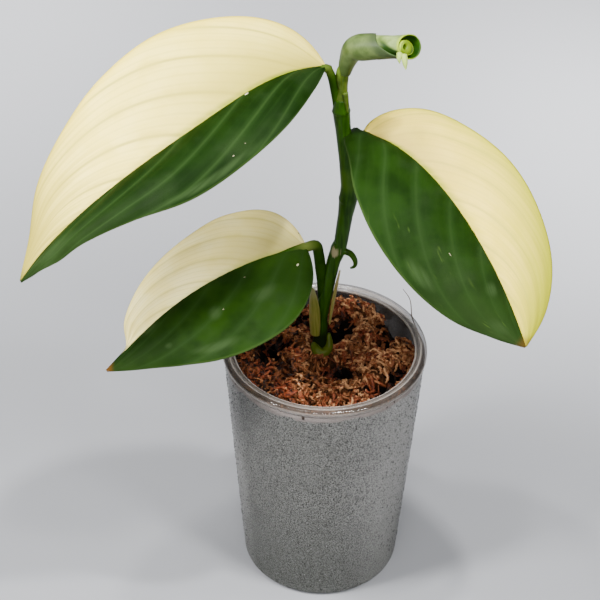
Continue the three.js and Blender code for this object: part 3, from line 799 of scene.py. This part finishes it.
def blade_rows(leaf, steps, laterals):
    """Places on the blade: one row for each step along it, one column for each lateral."""
    s, at, ahead, beside, over = midrib(leaf, steps)
    rows = np.empty((steps + 1, len(laterals), 3))
    sweep = np.radians(leaf["sweep"][0] + (leaf["sweep"][1] - leaf["sweep"][0]) * s ** 0.6)
    for column, lateral in enumerate(laterals):
        side = 1 if lateral >= 0 else -1
        half = 0 if side * leaf["cream_side"] >= 0 else 1
        width = np.maximum(along(leaf[("cream", "green")[half]], s), 0.5)
        start = math.radians(leaf["fold"][half])
        turn = math.radians(leaf["crown"][half]) - start
        v = abs(lateral)
        out = (width / turn) * (math.sin(start + turn * v) - math.sin(start))
        lift = (width / turn) * (math.cos(start) - math.cos(start + turn * v))
        rows[:, column] = (at + beside * (side * out * np.cos(sweep))[:, None]
                           + ahead * (out * np.sin(sweep))[:, None] + over * lift[:, None])
    return s, rows


def sheet(top, under):
    """Points and faces of a thin closed sheet between two equal grids of places."""
    steps, across = top.shape[0] - 1, top.shape[1] - 1
    columns, count = across + 1, top.shape[0] * top.shape[1]
    faces = []
    for i in range(steps):
        for j in range(across):
            a = i * columns + j
            faces.append((a, a + 1, a + 1 + columns, a + columns))
            faces.append((count + a, count + a + columns, count + a + 1 + columns, count + a + 1))
        for j in (0, across):
            a = i * columns + j
            faces.append((a, a + columns, count + a + columns, count + a))
    for i in (0, steps):
        for j in range(across):
            a = i * columns + j
            faces.append((a, a + 1, count + a + 1, count + a))
    return np.concatenate([top.reshape(-1, 3), under.reshape(-1, 3)]).tolist(), faces


def grow_leaf(name, leaf, finish):
    """Makes a leaf's piece, and returns what a speck needs to find its place on the blade."""
    steps, half = 170, 30
    spread = np.linspace(0, 1, half + 1) ** 1.15
    laterals = np.concatenate([-spread[:0:-1], spread])
    s, rows = blade_rows(leaf, steps, laterals)
    run, side = np.meshgrid(s, laterals, indexing="ij")
    reach = np.abs(side)
    over = midrib(leaf, steps)[4][:, None]
    normal = unit(np.cross(np.gradient(rows, axis=1), np.gradient(rows, axis=0)))
    normal = unit(0.75 * normal * np.sign(np.sum(normal * over, 2))[..., None] + 0.25 * over)
    phase = (run - (0.36 + 0.3 * run) * reach ** 1.15) * VEINS - VEIN_START
    off_vein = np.abs(phase - np.round(phase))
    fade = np.clip(reach * 12, 0, 1) * np.clip((1 - reach) * 6, 0, 1) * np.clip((1 - run) * 8, 0, 1)
    relief = -fade * (VEIN_RISE * np.cos(2 * np.pi * phase) + VEIN_GROOVE * np.exp(-(off_vein / 0.05) ** 2))
    ends = np.clip(run * 20, 0, 1) * np.clip((1 - run) * 10, 0, 1)
    relief -= MIDRIB_GROOVE * np.exp(-(side / 0.03) ** 2) * ends
    wave = BLADE_WAVE * reach ** 3 * np.sin(8 * np.pi * run + 1.3 * np.sign(side)) * np.clip(run * 5, 0, 1)
    wave += (leaf["ruffle"] * (side * leaf["cream_side"] < 0) * reach ** 3
             * np.exp(-((run - 0.87) / 0.07) ** 2) * np.sin(2 * np.pi * (run - 0.7) * 6))
    middle = rows + normal * wave[..., None]
    thickness = BLADE * (1 - 0.6 * reach ** 6)
    top = middle + normal * (thickness / 2 + relief)[..., None]
    under = middle - normal * (thickness / 2 - 0.6 * relief)[..., None]
    rib_s, rib_at, _, _, rib_over = midrib(leaf, 10)
    rib = [tuple(at - (0.4 + 0.75 * min(1, place / 0.1)) * up)
           for place, at, up in zip(rib_s, rib_at, rib_over) if place <= 0.6]
    stalk_path = smooth_path([*leaf["stalk"], *rib], STALK_RINGS)
    stalk = tube(stalk_path, along(leaf["girth"], np.linspace(0, 1, STALK_RINGS)), STALK_SIDES)
    to_blade = np.linalg.norm(stalk_path - np.array(leaf["base"]), axis=1)
    counts = run.size, run.size, len(stalk[0])
    half_sign = side * leaf["cream_side"]
    values = {
        "run": laid_out(counts, run, run, 0), "side": laid_out(counts, half_sign, half_sign, 0),
        "vein": laid_out(counts, phase, phase, 0), "stalk": laid_out(counts, 0, 0, 1),
        "back": laid_out(counts, 0, 1, 0),
        "collar": laid_out(counts, 0, 0, np.repeat(np.exp(-(to_blade / 3.0) ** 2), STALK_SIDES)),
    }
    add_piece(f"{name}_blade", *join([sheet(top, under), stalk]), finish, "leaf_variegated", [name], values)
    return s, laterals * leaf["cream_side"], top, normal


def leaf_finish(name, leaf):
    """Cream and green halves with slanted veins, a yellow-green line at the midrib and pale edges."""
    made = Finish(name, roughness=0.5, specular=0.02)
    run, side, vein = (made.attribute(key) for key in ("run", "side", "vein"))
    reach = made.math("ABSOLUTE", side)
    fine = made.noise(0.35 * MM, detail=2.0)
    patch = made.noise(9 * MM)
    dust_and_sheen = made.noise(13 * MM)
    streak = made.noise(1.0, detail=4.0, at=made.stretched((vein, 7), (reach, 2.5), (run, 2)))
    mottle = made.noise(1.0, detail=2.0, at=made.stretched((vein, 3.2), (reach, 9), (run, 9)))

    def off_line(lines):
        return made.math("ABSOLUTE", made.math("SUBTRACT", lines, made.math("ROUND", lines)))

    line = made.ease(off_line(vein), 0.01, 0.075, 1, 0)
    glow = made.ease(off_line(vein), 0.0, 0.25, 1, 0)
    small_line = made.ease(off_line(made.times(vein, 4)), 0.03, 0.2, 1, 0)
    # Painted shade: the cream is darker near the blade's base, most towards the midrib.
    shaded_base = made.times(made.ease(run, 0.15, 0.62, 0.9, 0), made.ease(reach, 0.1, 0.9, 1, 0.35))
    cream = made.coats(
        made.mix(made.ease(patch, 0.3, 0.7, 0, 0.6), leaf["light"], leaf["shade"]),
        (made.ease(streak, 0.42, 0.75, 0, 0.45), leaf["shade"]),
        (made.times(glow, made.ease(patch, 0.35, 0.65, 0.15, 0.55)), (206, 188, 84)),
        (made.times(small_line, 0.2), (190, 172, 76)),
        (made.times(line, made.ease(patch, 0.3, 0.7, leaf["veins"], 0.4 * leaf["veins"])), (160, 150, 64)),
        (made.ease(reach, 0.86, 1.0, 0, 0.75), leaf["margin"]), (shaded_base, leaf["base_shade"]))
    if leaf["far"]:
        edge_pull, start, full, far_tone = leaf["far"]
        far = made.shaken(made.plus(made.times(run, 0.75), made.times(reach, edge_pull)), streak, 0.03)
        cream = made.mix(made.ease(far, start, full), cream, far_tone)
    seam = made.times(made.ease(reach, 0.0, leaf["seam_wide"], 1, 0), made.ease(run, 0.15, 0.7, 0.95, 0.3))
    seam = made.times(seam, made.ease(streak, 0.3, 0.6, 0.6 * leaf["seam"], leaf["seam"]))
    cream = made.mix(seam, cream, (112, 126, 14))
    sheen = made.times(made.ease(run, 0.5, 0.95, 0, leaf["green_far"]), made.ease(reach, 0.15, 0.8, 0.4, 1))
    green = made.coats(
        made.cloudy(patch, leaf["deep"], leaf["pale"]), (sheen, (46, 63, 32)),
        (made.ease(run, 0.08, 0.42, leaf["green_near"], 0), (40, 66, 18)),
        (made.ease(streak, 0.45, 0.8, 0, 0.3), (26, 44, 14)), (made.times(glow, 0.36), (30, 50, 19)),
        (made.times(line, 0.3 * leaf["veins"]), (50, 70, 34)),
        # Grey clouds: partly a powdery film on the leaf and partly painted sheen.
        (made.times(made.ease(dust_and_sheen, 0.5, 0.7, 0, 0.16), made.ease(fine, 0.3, 0.7, 0.5, 1)), (46, 60, 36)))
    # Painted sheen: soft greyish patches on the green half stand in for gloss.
    for sheen_run, sheen_side, long, wide in leaf["sheen_patches"]:
        gap = made.gap(made.stretched((run, 1 / long), (side, 1 / wide)),
                       (sheen_run / long, sheen_side / wide, 0))
        sheen_spot = made.times(made.ease(gap, 0.2, 1.1, 0.6, 0), made.ease(streak, 0.3, 0.6, 0.4, 1))
        green = made.mix(sheen_spot, green, (46, 64, 34))
    fleck = made.times(made.ease(mottle, 0.64, 0.8, 0, leaf["flecks"]), made.ease(reach, 0.35, 0.6))
    green = made.coats(green, (made.times(fleck, made.ease(run, 0.35, 0.55)), (70, 94, 36)),
                       (made.ease(reach, 0.965, 0.995, 0, 0.7), (52, 72, 32)))
    tip = leaf["green_tip"]
    before_tip = made.ease(made.shaken(run, streak, 0.03), tip - 0.02, tip + 0.02, 1, 0)
    is_cream = made.times(made.ease(made.shaken(side, streak, 0.003), -0.006, 0.01), before_tip)
    blade = made.coats(
        made.mix(is_cream, green, cream),
        (made.times(made.ease(run, 0.945, 0.985), leaf["tip_brown"]), (86, 58, 22)),
        (made.times(made.attribute("back"), 0.35), (98, 110, 62)))
    stalk = made.coats(made.cloudy(patch, (18, 42, 2), (36, 64, 6)),
                       (made.times(made.attribute("collar"), leaf["collar"]), (108, 118, 54)))
    made.set("Base Color", made.mix(made.attribute("stalk"), blade, stalk))
    made.bump(made.plus(fine, made.times(streak, 0.6)), 0.05 * MM, 0.7)
    return made


blade_tops = {name: grow_leaf(name, leaf, leaf_finish(f"{name}_skin", leaf))
              for name, leaf in LEAVES.items()}

# A few specks lie on the leaves: pale dry crumbs, one thin sliver, and a dark nick at the edge
# of the low leaf. Each is a low chip, pressed against the blade.
SPECKS = (("leaf_large", 0.25, -0.05, 0.85, 0.28, 0.8), ("leaf_large", 0.38, -0.812, 0.38, 0.2, 0.45),
          ("leaf_large", 0.35, -0.762, 0.25, 0.16, 0.25), ("leaf_right", 0.605, -0.4, 0.75, 0.17, 0.35),
          ("leaf_low", 0.115, -0.512, 0.75, 0.36, 0.75), ("leaf_low", 0.435, -0.463, 0.32, 0.22, 0.45),
          ("leaf_low", 0.31, -0.175, 0.42, 0.25, 0.16), ("leaf_low", 0.045, 0.9, 0.45, 0.3, 0.0))
chips, chip_tones = [], []
for leaf_name, chip_run, chip_side, long_way, wide_way, tone in SPECKS:
    s, laterals, top, normal = blade_tops[leaf_name]
    i, j = np.abs(s - chip_run).argmin(), np.abs(laterals - chip_side).argmin()
    up = unit(top[i + 1, j] - top[i - 1, j])
    chips.append(blob(top[i, j] - 0.05 * normal[i, j], normal[i, j], np.cross(up, normal[i, j]) * wide_way,
                      up * long_way, 1.0, 0.22, 7))
    chip_tones += [tone] * len(chips[-1][0])
speck_finish = Finish("dry_specks", roughness=0.8, specular=0.2)
speck_tone = speck_finish.shaken(
    speck_finish.attribute("tone"), speck_finish.noise(0.3 * MM), 0.08, clamp=True)
speck_finish.set("Base Color", speck_finish.mix(speck_tone, (16, 14, 8), (212, 202, 164)))
add_piece("leaf_specks", *join(chips), speck_finish, "leaf_variegated", values={"tone": chip_tones})

# The new leaf is still rolled up: a short shoot leaves the stem's top and opens into a bent
# scroll of one thin blade, wound two and a half times. It is vivid green inside, and its pale
# tip hangs out of the mouth in two points.
stem_top = STEM_PATH[-1, 2]
SHOOT = [(3.5, 5.7, stem_top - 0.6), (3.7, 5.7, 193.6), (3.9, 5.7, 197), (4.3, 5.6, 201), (5.4, 5.3, 205.5)]
TONGUE = [(4.6, 4.2, 194), (5.2, 3.9, 190), (5.6, 3.8, 186.5)]
SHOOT_EAR = [(3.4, 5.2, 194), (2.9, 4.9, 198), (2.6, 4.8, 201.5), (3.1, 5.0, 204.6)]
SCROLL = [(4.3, 5.6, 200.5), (5.2, 5.4, 205), (7.2, 4.6, 209.8), (11.4, 2.5, 212.1), (16.5, -0.3, 214.1),
          (23.6, -4.3, 216.8)]
SCROLL_REACH = [2.1, 3.1, 4.3, 4.2, 3.9, 4.1]
SCROLL_SKIN = 0.45
SCROLL_TURNS = 2.6
SCROLL_EDGE = [-25, -25, -25, -22, -15, -5, 10, 80, 118, 148, 172]
SCROLL_STEPS, SCROLL_AROUND = 80, 180
MOUTH_SLANT = 1.9
ROLL_END = ((2.25, -2.4, 0), (2.3, -0.5, 0), (2.15, 0.0, 0.05), (1.75, 0.25, 0.3), (1.2, 0.25, 0.7),
            (0.85, 0.05, 1.0), (0.7, -0.5, 1.1), (0.65, -1.4, 1.1))
ROLL_SIDES = 28
LEFT_TIP = [(-3.0, -2.4, 1.4), (-3.2, -4.0, 2.0), (-2.9, -5.5, 2.0)]
RIGHT_TIP = [(-1.7, -2.9, 1.6), (-1.5, -4.3, 2.2), (-1.3, -5.9, 2.3), (-1.1, -7.4, 2.2)]
facing = np.array([0.0, -0.777, 0.629])
picture_ways = np.array([(1, 0, 0), (0, 0.629, 0.777), facing])
rear_lip = np.array([0.6, 0.63, -0.5])
scroll_path = smooth_path(SCROLL, SCROLL_STEPS + 1)
ahead = unit(np.gradient(scroll_path, axis=0))
near_way = unit(facing - ahead * (ahead @ facing)[:, None])
top_way = np.cross(near_way, ahead)
roll_push = 0.9 * near_way - 0.35 * top_way
scroll_s = np.linspace(0, 1, SCROLL_STEPS + 1)
scroll_turn = np.linspace(0, SCROLL_TURNS, SCROLL_AROUND + 1)
edge_turn = np.radians(along(SCROLL_EDGE, scroll_s))
centre_line = np.empty((SCROLL_STEPS + 1, SCROLL_AROUND + 1, 3))
away = np.empty_like(centre_line)
for i, s in enumerate(scroll_s):
    late = np.clip((s - 0.55) / 0.35, 0, 1)
    closeness = np.interp(scroll_turn, [0, 0.45, 0.75, 1, 1.3, 1.7, SCROLL_TURNS],
                          [1, 1, 0.98 - 0.15 * late, 0.94 - 0.36 * late, 0.84 - 0.28 * late,
                           0.7 - 0.18 * late, 0.3])
    spin = edge_turn[i] + 2 * math.pi * scroll_turn
    away[i] = np.cos(spin)[:, None] * top_way[i] + np.sin(spin)[:, None] * near_way[i]
    shift = np.interp(scroll_turn, [0, 0.45, 0.75, 1, 1.3, SCROLL_TURNS], [0, 0, 0.6, 1.1, 1.4, 1.5]) * late
    slant = MOUTH_SLANT * s ** 4 * (away[i] @ rear_lip) * np.interp(scroll_turn, [0, 1, 1.6], [1, 0.8, 0.2])
    slant -= s ** 6 * np.interp(scroll_turn, [1.1, 1.6, SCROLL_TURNS], [0, 0.5, 1.0])
    radius = along(SCROLL_REACH, s) - SCROLL_SKIN / 2 - 0.1
    centre_line[i] = (scroll_path[i] + away[i] * (radius * closeness)[:, None]
                      + shift[:, None] * roll_push[i] + ahead[i] * slant[:, None])
scroll_shape = sheet(centre_line + away * SCROLL_SKIN / 2, centre_line - away * SCROLL_SKIN / 2)
roll_centre = scroll_path[-1] + 1.4 * roll_push[-1]
roll_facing = unit(ahead[-1] + 0.45 * facing)
roll_left = unit(near_way[-1] - roll_facing * (near_way[-1] @ roll_facing))
roll_top = np.cross(roll_left, roll_facing)
roll_points = [roll_centre + roll_facing * forward + roll_left * (aside + reach * math.cos(turn))
               + roll_top * reach * math.sin(turn)
               for reach, forward, aside in ROLL_END for turn in full_turn(ROLL_SIDES)]
roll_depth = np.repeat([0, 0, 0, 0, 0, 0, 0.7, 1.0], ROLL_SIDES)
tip_shapes = [sprig(np.array(SCROLL[-1]) + np.array(tip) @ picture_ways, radii, 24, 12)
              for tip, radii in ((RIGHT_TIP, [1.0, 0.95, 0.7, 0.12]), (LEFT_TIP, [1.0, 0.75, 0.12]))]
shoot_shapes = [sprig(SHOOT, [2.2, 1.75, 1.65, 1.7, 1.9], 40, 22), sprig(TONGUE, [1.0, 0.8, 0.12], 20, 10),
                sprig(SHOOT_EAR, [1.0, 1.1, 1.0, 0.15], 20, 10)]


def scroll_finish():
    """Dull grey-green outside with a paler wound-in part under painted sheen, painted shadow with dark green
    where it tucks under the flap's edge, vivid green inside, yellowish tip and shoot.
    """
    made = Finish("young_leaf", roughness=0.45, specular=0.15)
    run, inside, turns = (made.attribute(key) for key in ("run", "inside", "turns"))
    bloom = made.noise(3.5 * MM, detail=4.0)
    # Painted shadow: dark green, partly the inner green and partly a contact shadow, where the wrap tucks
    # under the flap's edge.
    tuck_green_and_shadow = made.times(made.ease(turns, 0.84, 0.92), made.ease(turns, 1.2, 1.05))
    outside_colour = made.coats(
        made.cloudy(bloom, (56, 72, 32), (82, 97, 54)),
        # The paler wound-in part also carries painted sheen.
        (made.ease(turns, 0.4, 0.62), made.cloudy(bloom, (92, 112, 50), (124, 142, 84))),
        (made.times(made.ease(turns, 0.3, 0.08), made.ease(run, 0.5, 0.62, 0, 0.8)), (48, 60, 36)),
        (made.times(tuck_green_and_shadow, made.ease(run, 0.64, 0.8)), (20, 46, 2)), (made.ease(run, 0.3, 0), (46, 62, 22)),
        (made.ease(turns, 1.0, 1.5), (90, 112, 6)), (made.ease(run, 0.95, 0.99), (136, 156, 36)))
    inside_colour = made.mix(made.times(made.ease(turns, 1.2, 1.6), made.ease(run, 0.97, 1.0)),
                             made.cloudy(bloom, (16, 48, 0), (34, 68, 2), 0.35, 0.65), (96, 120, 8))
    made.set("Base Color", made.coats(
        outside_colour, (inside, inside_colour), (made.attribute("tip"), (142, 162, 76)),
        (made.attribute("shoot"), made.cloudy(bloom, (40, 60, 8), (74, 92, 24)))))
    made.bump(bloom, 0.15 * MM, 0.6)
    return made


roll_shape = (roll_points, skin_faces(len(ROLL_END), ROLL_SIDES))
points, faces = join([scroll_shape, roll_shape, *tip_shapes, *shoot_shapes])
grid_s = np.repeat(scroll_s, SCROLL_AROUND + 1)
grid_turn = np.tile(scroll_turn, SCROLL_STEPS + 1)
counts = (len(grid_s), len(grid_s), len(roll_points), sum(len(shape[0]) for shape in tip_shapes),
          sum(len(shape[0]) for shape in shoot_shapes))
add_piece("furled_leaf", points, faces, scroll_finish(), "leaf_young", ["new_leaf"], {
    "run": laid_out(counts, grid_s, grid_s, 0.9, 1, -0.1),
    "turns": laid_out(counts, grid_turn, grid_turn, 2, 2, 0),
    "inside": laid_out(counts, 0, 1, roll_depth, 0, 0),
    "shoot": laid_out(counts, 0, 0, 0, 0, 1), "tip": laid_out(counts, 0, 0, 0, 1, 0)})

# Two old sheaths stand at the foot of the stem: a broad yellow-olive one at its left, swollen
# where it leaves the moss, and a narrow dry one along its right. Both are curved scales.
SCALE_SKIN = 0.5
SCALE_STEPS, SCALE_ACROSS = 40, 14


def standing_scale(foot, tip, widths, facing, arc):
    """A curved upright scale, hollow towards the stem, with wrinkles that run up it."""
    climb, width = np.meshgrid(np.linspace(0, 1, SCALE_STEPS + 1),
                               np.linspace(0, 1, SCALE_ACROSS + 1), indexing="ij")
    facing, arc = math.radians(facing), math.radians(arc)
    turn = facing + arc * (width - 0.5)
    outward = np.stack([np.cos(turn), np.sin(turn), 0 * turn], 2)
    radius = along(widths, climb) / arc
    pleat = 0.1 * np.sin(3.2 * SCALE_ACROSS * width) * np.sin(math.pi * climb)
    towards = np.array([math.cos(facing), math.sin(facing), 0])
    rows = (np.array(foot) + climb[..., None] * (np.array(tip) - np.array(foot))
            + outward * (radius + pleat)[..., None] - towards * radius[..., None])
    points, faces = sheet(rows + outward * SCALE_SKIN / 2, rows - outward * SCALE_SKIN / 2)
    return points, faces, {"climb": np.tile(climb.ravel(), 2), "width": np.tile(width.ravel(), 2)}


def sheath_finish(name, body, edge, tip):
    made = Finish(name, roughness=0.5, specular=0.3)
    climb, width = made.attribute("climb"), made.attribute("width")
    fibres = made.noise(1.0, at=made.stretched((width, 9), (climb, 2)))
    made.set("Base Color", made.coats(
        body, (made.ease(fibres, 0.3, 0.7, 0, 0.5), edge), (made.ease(width, 0.15, 0.5, 0.9, 0), edge),
        (made.ease(climb, 0.7, 0.95), tip)))
    made.bump(fibres, 0.2 * MM)
    return made


points, faces, values = standing_scale(
    (-3.7, 2.9, 95.5), (-4.5, 3.3, 116), [3.8, 4.6, 4.7, 4.2, 2.9, 0.9], 245, 130)
add_piece("olive_sheath", points, faces, sheath_finish(
    "olive_sheath_skin", (92, 98, 18), (146, 132, 70), (124, 124, 74)),
    "sheath_olive", ["base_sheath"], values)
points, faces, values = standing_scale(
    (1.6, 4.6, 99.5), (4.6, 4.9, 122.3), [0.9, 2.2, 2.6, 2.2, 0.8], -20, 90)
add_piece("dry_sheath_strip", points, faces, sheath_finish(
    "dry_sheath_skin", (172, 156, 96), (128, 120, 54), (164, 152, 102)),
    "sheath_dry", ["dry_sheath"], values)

# One loose brown fibre has sprung up out of the moss. Its foot is held among the strands, and it
# leans out over the back of the lip.
FIBRE = [(27, 23, 100.5), (29.5, 20, 98), (30.2, 15.1, 94.5), (31.8, 9.5, 93.4)]
add_piece("loose_fibre", *sprig(FIBRE, [0.1, 0.16, 0.2, 0.16], 40, 7), two_tone(
    "loose_fibre", 1.5 * MM, (38, 28, 20), (96, 74, 52), roughness=0.6, specular=0.2), "moss")
